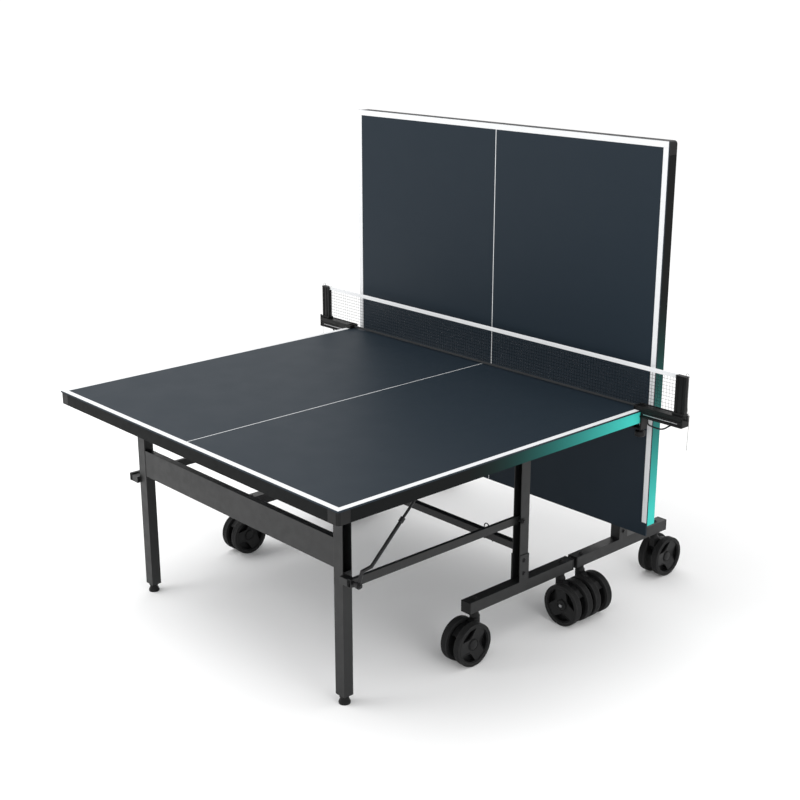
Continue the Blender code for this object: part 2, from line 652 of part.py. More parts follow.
def main():
    clear_scene()
    outwards = {1: 0.0, -1: pi}
    headings = {}
    for side, heading in outwards.items():
        headings[side, 1] = heading
        headings[side, -1] = -pi / 2
    near = empty("near_half", None, (0, WORLD_NET_Y, 0))
    far = empty("far_half", None, (0, WORLD_NET_Y + FAR_SHIFT, 0), (0, 0, pi))
    board_axis = build_half("near", near, 0.0, headings)
    build_half("far", far, FOLD, headings)
    build_net(board_axis)
    bpy.context.view_layer.update()


main()
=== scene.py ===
"""Looks for the folding table-tennis table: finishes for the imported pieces, and their fine detail."""
import bpy
import bmesh
from math import cos, pi, radians, sin
from mathutils import Matrix, Vector


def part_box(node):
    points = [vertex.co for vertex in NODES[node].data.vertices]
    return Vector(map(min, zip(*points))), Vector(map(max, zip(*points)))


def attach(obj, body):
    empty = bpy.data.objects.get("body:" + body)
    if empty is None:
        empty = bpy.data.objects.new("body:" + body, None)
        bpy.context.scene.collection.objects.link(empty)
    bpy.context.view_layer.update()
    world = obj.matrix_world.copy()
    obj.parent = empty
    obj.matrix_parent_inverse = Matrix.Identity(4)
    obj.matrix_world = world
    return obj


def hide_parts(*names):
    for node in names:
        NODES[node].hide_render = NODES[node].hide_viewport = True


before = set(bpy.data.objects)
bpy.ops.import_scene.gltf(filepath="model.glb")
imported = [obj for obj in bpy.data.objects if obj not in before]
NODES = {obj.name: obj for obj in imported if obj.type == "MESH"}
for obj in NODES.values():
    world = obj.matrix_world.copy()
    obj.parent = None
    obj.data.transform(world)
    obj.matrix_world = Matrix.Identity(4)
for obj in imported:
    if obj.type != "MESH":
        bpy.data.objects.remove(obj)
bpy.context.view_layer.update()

# ---------------------------------------------------------------- places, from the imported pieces
BOARD_LO, BOARD_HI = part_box("near_board")
PANEL_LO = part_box("far_board")[0]
NET_LO, NET_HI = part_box("net")
HALF_WIDTH = BOARD_HI.x
NET_LINE = BOARD_HI.y
NET_MIDDLE = (NET_LO.y + NET_HI.y) / 2
SIDES = (("left", -1), ("right", 1))


# ---------------------------------------------------------------- finishes
TEAL_FULL = 0.08                # from the net end of a board, where the teal is at its fullest
TEAL_NONE = 0.93                # and where it has faded to black
TEAL_FADE = 2.6
MESH_PITCH = 0.0120
STRAND_EDGE, STRAND_CORE = 0.0014, 0.0004       # half widths of a strand, faint and dense
STRAND_COVER = 0.62


class Graph:
    """A material's node tree, built one node at a time."""

    def __init__(self, name):
        self.material = bpy.data.materials.new(name)
        self.material.use_nodes = True
        self.tree = self.material.node_tree
        self.shader = self.tree.nodes["Principled BSDF"]
        self.place = self.node("ShaderNodeTexCoord").outputs["Object"]

    def node(self, kind, settings=(), **inputs):
        """A new node with its settings, its inputs linked or set."""
        made = self.tree.nodes.new(kind)
        for key, value in dict(settings).items():
            setattr(made, key, value)
        for key, value in inputs.items():
            self.put(made.inputs[key.replace("_", " ")], value)
        return made

    def put(self, socket, value):
        """Link another node's output to a socket, or set the socket's value."""
        if isinstance(value, bpy.types.NodeSocket):
            self.tree.links.new(value, socket)
        else:
            socket.default_value = value

    def set(self, **inputs):
        """Inputs of the shader itself."""
        for key, value in inputs.items():
            self.put(self.shader.inputs[key.replace("_", " ")], value)

    def maths(self, operation, a, b=0.0):
        """One sum on a and b."""
        made = self.node("ShaderNodeMath", {"operation": operation})
        self.put(made.inputs[0], a)
        self.put(made.inputs[1], b)
        return made.outputs[0]

    def noise(self, scale, detail=3.0, stretch=None):
        """Cloudy noise, drawn out along an axis where stretch is given."""
        place = self.place
        if stretch:
            place = self.node("ShaderNodeMapping", Vector=place, Scale=stretch).outputs[0]
        return self.node("ShaderNodeTexNoise", Vector=place, Scale=scale,
                         Detail=detail).outputs["Fac"]

    def ramp(self, value, low, high, to_low=0.0, to_high=1.0, kind="SMOOTHSTEP"):
        """A value between low and high, mapped to the range from to_low to to_high."""
        made = self.node("ShaderNodeMapRange", {"interpolation_type": kind})
        for socket, given in zip(made.inputs[:5], (value, low, high, to_low, to_high)):
            self.put(socket, given)
        return made.outputs[0]

    def mix(self, share, a, b):
        """Colour a turning to colour b as share goes from 0 to 1."""
        made = self.node("ShaderNodeMix", {"data_type": "RGBA"})
        self.put(made.inputs[0], share)
        self.put(made.inputs[6], a)
        self.put(made.inputs[7], b)
        return made.outputs[2]

    def relief(self, height, strength, distance, bevel):
        """Fine bumps over edges that are rounded by bevel."""
        edge = self.node("ShaderNodeBevel", {"samples": 4}, Radius=bevel).outputs[0]
        self.set(Normal=self.node("ShaderNodeBump", Height=height, Strength=strength,
                                  Distance=distance, Normal=edge).outputs[0])


def rgb(red, green, blue):
    return (red, green, blue, 1.0)


def coated(name, colour, rough, metal=0.0, grain=1400.0, depth=0.00008, bevel=0.0010, mottle=0.16,
           shine=0.5):
    """A paint, plastic or plated finish with fine grain, slight mottling and soft edges."""
    g = Graph(name)
    cloud = g.noise(7.0, 4.0)
    dark = rgb(*(c * (1 - mottle) for c in colour))
    light = rgb(*(c * (1 + mottle) for c in colour))
    g.set(Base_Color=g.mix(cloud, dark, light), Metallic=metal, Specular_IOR_Level=shine,
          Roughness=g.ramp(g.noise(35.0, 5.0), 0.3, 0.7, rough * 0.86, min(rough * 1.14, 1.0)))
    g.relief(g.noise(grain, 2.0), 0.35, depth, bevel)
    return g.material


def board_finish():
    """Matt blue-grey lacquer with a fine pebbled tooth and faint roller streaks."""
    g = Graph("board_lacquer")
    streaks = g.noise(3.0, 5.0, (1.0, 14.0, 14.0))
    g.set(Base_Color=g.mix(streaks, rgb(0.0104, 0.0180, 0.0264), rgb(0.0110, 0.0189, 0.0277)),
          Roughness=g.ramp(g.noise(9.0, 5.0), 0.25, 0.75, 0.52, 0.555), Specular_IOR_Level=0.17)
    g.relief(g.noise(1900.0, 2.0), 0.25, 0.00006, 0.0008)
    return g.material


def rail_finish(name, axis, full, none):
    """Black powder coat whose outer side faces fade to teal towards the net."""
    g = Graph(name)
    place = g.node("ShaderNodeSeparateXYZ", Vector=g.place).outputs
    along = g.maths("POWER", g.ramp(place[axis], none, full, kind="LINEAR"), TEAL_FADE)
    normal = g.node("ShaderNodeNewGeometry").outputs["Normal"]
    side = g.maths("ABSOLUTE", g.node("ShaderNodeSeparateXYZ", Vector=normal).outputs[0])
    outer = g.maths("GREATER_THAN", g.maths("ABSOLUTE", place[0]), HALF_WIDTH - 0.0015)
    outer_side = g.maths("MULTIPLY", outer, g.maths("GREATER_THAN", side, 0.9))
    share = g.maths("MULTIPLY", along, outer_side)
    black = g.mix(g.noise(7.0, 4.0), rgb(0.0050, 0.0055, 0.0056), rgb(0.0072, 0.0078, 0.0080))
    teal = g.mix(g.noise(9.0, 3.0), rgb(0.045, 0.480, 0.425), rgb(0.050, 0.515, 0.455))
    g.set(Base_Color=g.mix(share, black, teal), Specular_IOR_Level=0.04,
          Roughness=g.ramp(g.noise(35.0, 5.0), 0.3, 0.7, 0.36, 0.46))
    g.relief(g.noise(1400.0, 2.0), 0.35, 0.00008, 0.0010)
    return g.material


def mesh_finish():
    """Knitted net: dark strands round open square holes."""
    g = Graph("net_mesh")
    place = g.node("ShaderNodeSeparateXYZ", Vector=g.place).outputs
    strands = None
    for axis in (0, 2):
        cell = g.maths("FRACT", g.maths("DIVIDE", place[axis], MESH_PITCH))
        phase = g.maths("ABSOLUTE", g.maths("SUBTRACT", cell, 0.5))
        strand = g.ramp(phase, 0.5 - STRAND_EDGE / MESH_PITCH, 0.5 - STRAND_CORE / MESH_PITCH,
                        0.0, STRAND_COVER)
        strands = strand if strands is None else g.maths("MAXIMUM", strands, strand)
    g.set(Base_Color=g.mix(g.noise(900.0), rgb(0.015, 0.016, 0.017), rgb(0.026, 0.027, 0.029)),
          Roughness=0.85, Specular_IOR_Level=0.2, Alpha=strands)
    return g.material


def thread_finish(name, colour, pitch):
    """Woven tape or braided cord, with a diagonal rib."""
    g = Graph(name)
    wave = g.node("ShaderNodeTexWave", {"bands_direction": "DIAGONAL"}, Vector=g.place,
                  Scale=pitch, Distortion=1.0).outputs["Fac"]
    g.set(Base_Color=g.mix(wave, rgb(*(c * 0.82 for c in colour)), rgb(*colour)), Roughness=0.8)
    g.relief(wave, 0.5, 0.0002, 0.0005)
    return g.material


FINISH = {
    "board": board_finish(),
    "near_rails": rail_finish("near_rail_coat", 1, NET_LINE - TEAL_FULL, NET_LINE - TEAL_NONE),
    "far_rails": rail_finish("far_rail_coat", 2, PANEL_LO.z + TEAL_FULL, PANEL_LO.z + TEAL_NONE),
    "coat": coated("powder_coat", (0.0085, 0.0088, 0.0090), 0.40, shine=0.34),
    "plastic": coated("moulded_plastic", (0.0045, 0.0046, 0.0048), 0.46, grain=900.0, depth=0.0001,
                      shine=0.20),
    "hub": coated("wheel_plastic", (0.0065, 0.0066, 0.0069), 0.40, grain=700.0, bevel=0.0006,
                  shine=0.22),
    "tyre": coated("wheel_rubber", (0.0100, 0.0101, 0.0104), 0.60, grain=1100.0, depth=0.0002,
                   bevel=0.0006, shine=0.22),
    "steel": coated("plated_steel", (0.42, 0.42, 0.43), 0.30, metal=1.0, grain=1800.0),
    "dark_steel": coated("blacked_steel", (0.022, 0.022, 0.023), 0.36, metal=0.5, bevel=0.0006,
                         shine=0.3),
    "line": coated("line_paint", (0.70, 0.71, 0.72), 0.45, mottle=0.02, shine=0.25),
    "mesh": mesh_finish(),
    "tape": thread_finish("net_tape", (0.74, 0.75, 0.76), 300.0),
    "hem": thread_finish("net_hem", (0.022, 0.024, 0.026), 300.0),
    "cord": thread_finish("white_cord", (0.34, 0.34, 0.33), 600.0),
}
ENDINGS = (("near_top_frame", "near_rails"), ("far_top_frame", "far_rails"), ("board", "board"),
           ("foot", "plastic"), ("guard", "plastic"), ("fork", "plastic"), ("wheels", "tyre"),
           ("net_post", "plastic"), ("screw", "steel"), ("stay", "dark_steel"),
           ("cord", "cord"), ("net", "mesh"), ("", "coat"))


def dress_nodes():
    """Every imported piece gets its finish."""
    for name, node in NODES.items():
        finish = next(look for ending, look in ENDINGS if name.endswith(ending))
        node.data.materials.clear()
        node.data.materials.append(FINISH[finish])


# ---------------------------------------------------------------- drawing tools
SHARP = radians(35)             # edges sharper than this stay crisp, or are bevelled


def wrap(name, bm, finish, body, bevel=0.0):
    """A finished piece from a bmesh, riding on a body."""
    bmesh.ops.recalc_face_normals(bm, faces=bm.faces)
    mesh = bpy.data.meshes.new(name)
    bm.to_mesh(mesh)
    bm.free()
    mesh.materials.append(FINISH[finish])
    mesh.shade_smooth()
    mesh.set_sharp_from_angle(angle=SHARP)
    made = bpy.data.objects.new(name, mesh)
    bpy.context.scene.collection.objects.link(made)
    if bevel:
        soften = made.modifiers.new("soft_edges", "BEVEL")
        soften.width = bevel
        soften.segments = 2
        soften.limit_method = "ANGLE"
        soften.angle_limit = SHARP
        soften.harden_normals = False
    if body:
        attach(made, body)
    return made


def add_box(bm, lo, hi):
    """A box between two corners."""
    corners = [bm.verts.new((x, y, z)) for z in (lo[2], hi[2]) for y in (lo[1], hi[1])
               for x in (lo[0], hi[0])]
    for face in ((0, 2, 3, 1), (4, 5, 7, 6), (0, 1, 5, 4), (2, 6, 7, 3), (0, 4, 6, 2), (1, 3, 7, 5)):
        bm.faces.new([corners[i] for i in face])


def add_section(bm, outline, z0, z1):
    """A prism over an (x, y) outline."""
    low = [bm.verts.new((x, y, z0)) for x, y in outline]
    high = [bm.verts.new((x, y, z1)) for x, y in outline]
    bm.faces.new(low)
    bm.faces.new(high)
    for i in range(len(outline)):
        j = (i + 1) % len(outline)
        bm.faces.new((low[i], low[j], high[j], high[i]))


def add_lathe(bm, profile, sides, at=Matrix.Identity(4)):
    """Revolve (radius, height) points about Z; points of no radius close the ends."""
    rings = []
    for radius, height in profile:
        if radius == 0:
            rings.append([bm.verts.new(at @ Vector((0, 0, height)))])
            continue
        rings.append([bm.verts.new(at @ Vector((radius * cos(2 * pi * i / sides),
                                                radius * sin(2 * pi * i / sides), height)))
                      for i in range(sides)])
    for near, far in zip(rings, rings[1:]):
        for i in range(sides):
            j = (i + 1) % sides
            if len(near) == 1:
                bm.faces.new((near[0], far[j], far[i]))
            elif len(far) == 1:
                bm.faces.new((near[i], near[j], far[0]))
            else:
                bm.faces.new((near[i], near[j], far[j], far[i]))


def facing(direction, place):
    """A frame whose Z points along direction, at place."""
    turn = Vector((0, 0, 1)).rotation_difference(Vector(direction)).to_matrix().to_4x4()
    return Matrix.Translation(Vector(place)) @ turn


def add_bolt(bm, place, direction, size=0.0065, washer=True):
    """A hexagon head on a washer."""
    at = facing(direction, place)
    base = 0.0012 if washer else 0.0
    if washer:
        add_lathe(bm, ((0, 0), (size * 1.45, 0), (size * 1.5, 0.0004), (size * 1.42, 0.0012),
                       (0, 0.0012)), 24, at)
    add_lathe(bm, ((0, base), (size, base), (size, base + size * 0.55),
                   (size * 0.86, base + size * 0.66), (0, base + size * 0.66)), 6, at)


def add_wire(bm, points, radius, sides=10):
    """A round wire through points."""
    rings = []
    points = [Vector(p) for p in points]
    closed = (points[0] - points[-1]).length < 1e-6
    if closed:
        points = points[:-1]
    normal = None
    for i, here in enumerate(points):
        before = points[i - 1] if i or closed else here
        after = points[(i + 1) % len(points)] if i < len(points) - 1 or closed else here
        tangent = (after - before).normalized()
        if normal is None:
            normal = tangent.orthogonal().normalized()
        normal = (normal - tangent * normal.dot(tangent)).normalized()
        across = tangent.cross(normal)
        rings.append([bm.verts.new(here + radius * (cos(2 * pi * k / sides) * normal
                                                    + sin(2 * pi * k / sides) * across))
                      for k in range(sides)])
    pairs = list(zip(rings, rings[1:]))
    if closed:
        pairs.append((rings[-1], rings[0]))
    else:
        bm.faces.new(rings[0])
        bm.faces.new(rings[-1])
    for near, far in pairs:
        for k in range(sides):
            bm.faces.new((near[k], near[(k + 1) % sides], far[(k + 1) % sides], far[k]))


def smooth_route(points, steps):
    """Points along a Catmull-Rom curve through the route."""
    dense = []
    for i in range(len(points) - 1):
        p = [points[max(0, min(len(points) - 1, i + k))] for k in (-1, 0, 1, 2)]
        for s in range(steps):
            t = s / steps
            dense.append(tuple(
                0.5 * (2 * b + (c - a) * t + (2 * a - 5 * b + 4 * c - d) * t * t
                       + (3 * b - a - 3 * c + d) * t ** 3)
                for a, b, c, d in zip(*p)))
    dense.append(points[-1])
    return dense


# ---------------------------------------------------------------- board markings
LINE = 0.020
LINE_RISE = 0.0002


def make_lines():
    """White edge lines and the thin centre line on both playing surfaces."""
    top = BOARD_HI.z
    end = BOARD_LO.y
    side_end = NET_LINE - 0.048
    near = bmesh.new()
    strips = [((-HALF_WIDTH, end), (HALF_WIDTH, end + LINE)),
              ((-0.0015, end + LINE), (0.0015, NET_LINE - 0.001))]
    strips += [((x, end + LINE), (x + LINE, side_end)) for x in (-HALF_WIDTH, HALF_WIDTH - LINE)]
    for lo, hi in strips:
        add_box(near, (*lo, top - 0.0001), (*hi, top + LINE_RISE))
    wrap("near_lines", near, "line", "near_top")
    far = bmesh.new()
    face = PANEL_LO.y
    for lo, hi in strips:
        z = [PANEL_LO.z + NET_LINE - value for value in (hi[1], lo[1])]
        add_box(far, (lo[0], face - LINE_RISE, z[0]), (hi[0], face + 0.0001, z[1]))
    wrap("far_lines", far, "line", "far_top")


# ---------------------------------------------------------------- castors
WHEEL_RADIUS = 0.075
WHEEL_WIDTH = 0.027
WHEEL_GAP = 0.033               # between the two wheels of a pair
RIM_INNER = 0.0612
OPENING_TURNS = [radians(turn) for turn in (15, 135, 255)]
OPENING_SPAN = radians(38)      # half the angle that an opening covers
OPENING_OUTER = 0.0580
OPENING_DEPTH = 0.0270
STEM_REACH = 0.2135             # from the beam's middle to a castor's stem
BEAM_TOP = 0.2180               # top face of the base beam's tube
WHEEL_SPIN = {"outer": radians(75), "inner": radians(20)}


def tyre_profile():
    """Half section of a wheel: face recess, rim ring, rounded shoulders and a grooved tread."""
    half = WHEEL_WIDTH / 2
    points = [(0.0605, half - 0.0050), (RIM_INNER, half - 0.0012), (0.0628, half), (0.0662, half),
              (0.0668, half - 0.0010), (0.0686, half - 0.0010), (0.0692, half), (0.0720, half),
              (0.0742, half - 0.0012), (WHEEL_RADIUS, half - 0.0040)]
    for groove in (0.0072, 0.0036, 0.0, -0.0036, -0.0072):
        points += [(WHEEL_RADIUS, groove + 0.0008), (WHEEL_RADIUS - 0.0012, groove + 0.0004),
                   (WHEEL_RADIUS - 0.0012, groove - 0.0004), (WHEEL_RADIUS, groove - 0.0008)]
    return points + [(r, -h) for r, h in reversed(points[:10])]


def opening(angle, grow=0.0):
    """Outline of one opening between the wheel's arms, near its rim."""
    outer, depth = OPENING_OUTER + grow, OPENING_DEPTH + 2 * grow
    steps = 12
    turns = [OPENING_SPAN * (2 * i / steps - 1) for i in range(steps + 1)]
    outline = [(outer, angle + a) for a in turns]
    outline += [(outer - depth * cos(a / OPENING_SPAN * pi / 2) ** 0.8, angle + a)
                for a in reversed(turns[1:-1])]
    return [(r * cos(a), r * sin(a)) for r, a in outline]


def wheel_mesh(spin):
    """One wheel about the origin, axle along Z, its hub cap towards +Z, turned by spin.

    The disc with its three openings comes first, then their raised edges, the hub cap and its
    ring, the web behind the openings, and last the tyre, which has the second material.
    """
    half = WHEEL_WIDTH / 2
    disc = bmesh.new()
    add_lathe(disc, ((0, half - 0.0095), (0.0130, half - 0.0095), (0.0200, half - 0.0088),
                     (0.0500, half - 0.0052), (RIM_INNER, half - 0.0050), (RIM_INNER, 0.002),
                     (0.0200, -0.004), (0.0130, -half + 0.001), (0, -half + 0.001)), 72)
    body = wrap("disc", disc, "hub", None)
    cutters = []
    for turn in OPENING_TURNS:
        bm = bmesh.new()
        add_section(bm, opening(turn), -WHEEL_WIDTH, WHEEL_WIDTH)
        cutters.append(wrap("opening", bm, "hub", None))
        cut = body.modifiers.new("cut", "BOOLEAN")
        cut.operation = "DIFFERENCE"
        cut.object = cutters[-1]
    bpy.context.view_layer.update()
    cut_mesh = bpy.data.meshes.new_from_object(
        body.evaluated_get(bpy.context.evaluated_depsgraph_get()))
    bm = bmesh.new()
    bm.from_mesh(cut_mesh)
    for turn in OPENING_TURNS:
        ring = [(*p, half - 0.0050) for p in opening(turn, 0.0008)]
        add_wire(bm, ring + ring[:1], 0.0010, 6)
    add_lathe(bm, ((0.0, half - 0.0052), (0.0150, half - 0.0056), (0.0172, half - 0.0064),
                   (0.0178, half - 0.0080), (0.0178, half - 0.0104), (0.0, half - 0.0104)), 48)
    add_lathe(bm, ((0.0192, half - 0.0100), (0.0196, half - 0.0068), (0.0208, half - 0.0068),
                   (0.0214, half - 0.0100), (0.0192, half - 0.0100)), 48)
    add_lathe(bm, ((0.0125, 0.0052 - half), (0.0604, 0.0052 - half), (0.0604, 0.0036 - half),
                   (0.0125, 0.0036 - half), (0.0125, 0.0052 - half)), 72)
    hub_faces = len(bm.faces)
    profile = tyre_profile()
    add_lathe(bm, profile + profile[:1], 96)
    bm.faces.ensure_lookup_table()
    for face in bm.faces[hub_faces:]:
        face.material_index = 1
    bmesh.ops.recalc_face_normals(bm, faces=bm.faces)
    bmesh.ops.rotate(bm, verts=bm.verts, cent=(0, 0, 0), matrix=Matrix.Rotation(spin, 3, "Z"))
    mesh = bpy.data.meshes.new("wheel")
    bm.to_mesh(mesh)
    bm.free()
    for look in ("hub", "tyre"):
        mesh.materials.append(FINISH[look])
    mesh.shade_smooth()
    mesh.set_sharp_from_angle(angle=radians(32))
    for extra in (body, *cutters):
        bpy.data.objects.remove(extra, do_unlink=True)
    return mesh


def make_castors():
    """Each castor's axle, its two wheels, its collar and its nut."""
    wheels = {end: wheel_mesh(spin) for end, spin in WHEEL_SPIN.items()}
    offset = (WHEEL_GAP + WHEEL_WIDTH) / 2
    for half in ("near", "far"):
        for hand, side in SIDES:
            for end in ("outer", "inner"):
                name = f"{half}_{hand}_{end}"
                lo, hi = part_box(f"{name}_wheels")
                middle = (lo + hi) / 2
                axle = Vector((1, 0, 0)) if end == "outer" else Vector((0, 1, 0))
                bm = bmesh.new()
                add_lathe(bm, ((0, -0.045), (0.0045, -0.045), (0.0058, -0.044), (0.0058, -0.017),
                               (0.0105, -0.0165), (0.0105, -0.0130), (0.0058, -0.0128),
                               (0.0058, 0.0128), (0.0105, 0.0130), (0.0105, 0.0165),
                               (0.0058, 0.017), (0.0058, 0.034), (0, 0.034)), 24,
                          facing(axle, middle))
                pin = wrap(f"{name}_axle", bm, "steel", f"{half}_{hand}_{end}_wheelset")
                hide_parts(f"{name}_wheels")
                for way, label in ((1, "a"), (-1, "b")):
                    made = bpy.data.objects.new(f"{name}_wheel_{label}", wheels[end])
                    bpy.context.scene.collection.objects.link(made)
                    made.matrix_world = facing(axle * way, middle + axle * way * offset)
                    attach(made, f"{half}_{hand}_{end}_wheelset")
                make_fork_detail(half, hand, end, name)


def make_fork_detail(half, hand, end, name):
    """Swivel collar under the beam, and the stem's nut on top of it."""
    lo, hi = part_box(f"{half}_{hand}_base_beam")
    outward = -1 if (half == "near") == (end == "outer") else 1
    stem = Vector(((lo.x + hi.x) / 2, (lo.y + hi.y) / 2 + outward * STEM_REACH, 0))
    bm = bmesh.new()
    add_lathe(bm, ((0.0110, 0.1500), (0.0165, 0.1500), (0.0175, 0.1520), (0.0168, 0.1580),
                   (0.0135, 0.1630), (0.0125, 0.1700), (0.0140, 0.1725), (0.0150, 0.1772),
                   (0.0110, 0.1772)), 32, Matrix.Translation(stem))
    wrap(f"{name}_collar", bm, "plastic", f"{half}_{hand}_{end}_castor")
    bm = bmesh.new()
    add_bolt(bm, (stem.x, stem.y, BEAM_TOP), (0, 0, 1), 0.0060)
    wrap(f"{name}_stem_nut", bm, "dark_steel", f"{half}_chassis")


# ---------------------------------------------------------------- chassis hardware
UPRIGHT_FACE = 0.6302           # outer face of an upright's channel
STRUT_OFFSET = 0.0098           # from the upright's middle to the strut's pivot
STRUT_PIN = 0.4360              # height of the strut's pivot on the upright
FAR_LEG_PIN = (0.5673, 1.1592)  # (y, z) of the folded strut's pivot on the far legs
NEAR_LEG_PIN = (NET_LINE - 1.1905, STRUT_PIN)
HOOK_FEET = (0.4450, 0.4850)    # x of the two ends of a hook through the cross beam
WIRE = 0.0020                   # radius of the hook's wire
CAP_RISE = 0.0006


def make_chassis_detail(half):
    """End caps on the base beams, the uprights' bolts, and two wire hooks on the cross beam."""
    for hand, side in SIDES:
        lo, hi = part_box(f"{half}_{hand}_base_beam")
        bm = bmesh.new()
        for y, way in ((lo.y, -1), (hi.y, 1)):
            ends = sorted((y - way * 0.0030, y + way * 0.0030))
            add_box(bm, (lo.x - CAP_RISE, ends[0], lo.z - CAP_RISE),
                    (hi.x + CAP_RISE, ends[1], BEAM_TOP + CAP_RISE))
        wrap(f"{half}_{hand}_beam_caps", bm, "plastic", f"{half}_chassis", bevel=0.0012)
        bm = bmesh.new()
        middle = (lo.y + hi.y) / 2
        face = hi.x if side > 0 else lo.x
        for z in (0.2450, 0.2920):
            add_bolt(bm, (face, middle, z), (side, 0, 0), 0.0060)
        strut_y = middle + (STRUT_OFFSET if half == "far" else -STRUT_OFFSET)
        add_bolt(bm, (side * (UPRIGHT_FACE + 0.0030), strut_y, STRUT_PIN), (side, 0, 0), 0.0070)
        wrap(f"{half}_{hand}_upright_bolts", bm, "dark_steel", f"{half}_chassis")
    lo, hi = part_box(f"{half}_cross_beam")
    middle = (lo.y + hi.y) / 2
    bm = bmesh.new()
    for side in (-1, 1):
        arch = [(side * x, middle, hi.z + rise) for x, rise in (
            (HOOK_FEET[0], -0.0020), (HOOK_FEET[0], 0.0120), (0.4480, 0.0200), (0.4550, 0.0235),
            (0.4640, 0.0200), (0.4790, 0.0060), (HOOK_FEET[1], -0.0020))]
        add_wire(bm, smooth_route(arch, 4), WIRE, 8)
        for x in HOOK_FEET:
            add_wire(bm, [(side * x, middle, lo.z + rise) for rise in (0.0010, -0.0095)], WIRE, 8)
    wrap(f"{half}_cross_beam_hooks", bm, "dark_steel", f"{half}_chassis")


def make_leg_detail(half):
    """The lock nut on each levelling foot, and the bolt that holds strut and stay to the leg."""
    for hand, side in SIDES:
        lo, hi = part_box(f"{half}_{hand}_foot")
        centre = (lo + hi) / 2
        bm = bmesh.new()
        add_lathe(bm, ((0, 0.0215), (0.0150, 0.0215), (0.0165, 0.0222), (0.0168, 0.0255),
                       (0.0150, 0.0262), (0, 0.0262)), 6,
                  Matrix.Translation((centre.x, centre.y, lo.z)))
        wrap(f"{half}_{hand}_foot_nut", bm, "plastic", f"{half}_{hand}_levelling_foot")
        pin = NEAR_LEG_PIN if half == "near" else FAR_LEG_PIN
        outer = 0.6440 if f"{half}_{hand}_stay" in NODES else 0.6165
        bm = bmesh.new()
        add_bolt(bm, (side * outer, *pin), (side, 0, 0), 0.0060, washer=False)
        wrap(f"{half}_{hand}_link_bolt", bm, "dark_steel", f"{half}_legs")


# ---------------------------------------------------------------- net set
CORD_ROUTE = (
    (0.9240, 0.9116), (0.9240, 0.9150), (0.9252, 0.9185), (0.9282, 0.9208), (0.9320, 0.9205),
    (0.9350, 0.9178), (0.9362, 0.9120), (0.9364, 0.9020), (0.9365, 0.8820), (0.9366, 0.8600),
    (0.9368, 0.8400), (0.9372, 0.8200), (0.9385, 0.8030), (0.9420, 0.7890), (0.9455, 0.7790),
    (0.9468, 0.7660), (0.9466, 0.7450), (0.9461, 0.7150), (0.9455, 0.6850), (0.9450, 0.6600),
)
CORD_DIAMETER = 0.002
TAPE_DEPTH = 0.0150
HEM_DEPTH = 0.0080
HEM_INSET = 0.16                # the hem shows only over the table


def make_net():
    """The stretched mesh, its white top tape and its dark hem."""
    reach = NET_HI.x - 0.0003
    low, high = NET_LO.z + 0.002, NET_HI.z
    columns, rows = 60, 6
    bm = bmesh.new()
    xs = [-reach + 2 * reach * i / columns for i in range(columns + 1)]
    zs = [low + (high - low) * j / rows for j in range(rows + 1)]
    grid = [[bm.verts.new((x, NET_MIDDLE, z)) for x in xs] for z in zs]
    for j in range(rows):
        for i in range(columns):
            bm.faces.new((grid[j][i], grid[j][i + 1], grid[j + 1][i + 1], grid[j + 1][i]))
    net = wrap("net_mesh_sheet", bm, "mesh", "near_top")
    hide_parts("net")
    bm = bmesh.new()
    add_box(bm, (-reach, NET_MIDDLE - 0.0014, high - TAPE_DEPTH),
            (reach, NET_MIDDLE + 0.0014, high + 0.0002))
    tape = wrap("net_top_tape", bm, "tape", "near_top", bevel=0.0008)
    bm = bmesh.new()
    add_box(bm, (HEM_INSET - reach, NET_MIDDLE - 0.0011, low),
            (reach - HEM_INSET, NET_MIDDLE + 0.0011, low + HEM_DEPTH))
    hem = wrap("net_bottom_hem", bm, "hem", "near_top", bevel=0.0006)


def make_cords():
    """A tension cord down the outside of each post, over its cleat, to a free end."""
    for hand, side in SIDES:
        route = [(side * x, NET_MIDDLE + 0.002, z) for x, z in CORD_ROUTE]
        points = smooth_route(route, 3)
        curve = bpy.data.curves.new(f"{hand}_cord_line", "CURVE")
        curve.dimensions = "3D"
        curve.bevel_depth = CORD_DIAMETER / 2
        curve.bevel_resolution = 3
        curve.use_fill_caps = True
        spline = curve.splines.new("POLY")
        spline.points.add(len(points) - 1)
        for knot, point in zip(spline.points, points):
            knot.co = (*point, 1)
        curve.materials.append(FINISH["cord"])
        made = bpy.data.objects.new(f"{hand}_tension_cord", curve)
        bpy.context.scene.collection.objects.link(made)
        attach(made, "near_top")
        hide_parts(f"{hand}_net_cord")


ARM_INNER, ARM_OUTER = 0.7370, 0.9360
ARM_HALF = 0.0200               # half the arm's depth along the table
FLANGE_TOP = 0.7750
POST_INNER, POST_OUTER = 0.8915, 0.9338
POST_FACE, GROOVE_FLOOR = -0.0085, -0.0058
POST_GROOVES = ((0.9005, 0.9065), (0.9190, 0.9250))
WIRE_LOOP = (                   # (x, z) of the wire under the right arm
    (0.783, 0.739), (0.783, 0.722), (0.787, 0.7125), (0.800, 0.7090), (0.833, 0.7076),
    (0.852, 0.7130), (0.865, 0.7220), (0.877, 0.7310), (0.884, 0.7400),
)
KNOB = (                        # (radius, height) of the hand knob, from its foot
    (0, -0.0006), (0.0152, -0.0006), (0.0186, 0.0026), (0.0190, 0.0172), (0.0150, 0.0220),
    (0.0070, 0.0238), (0, 0.0238),
)


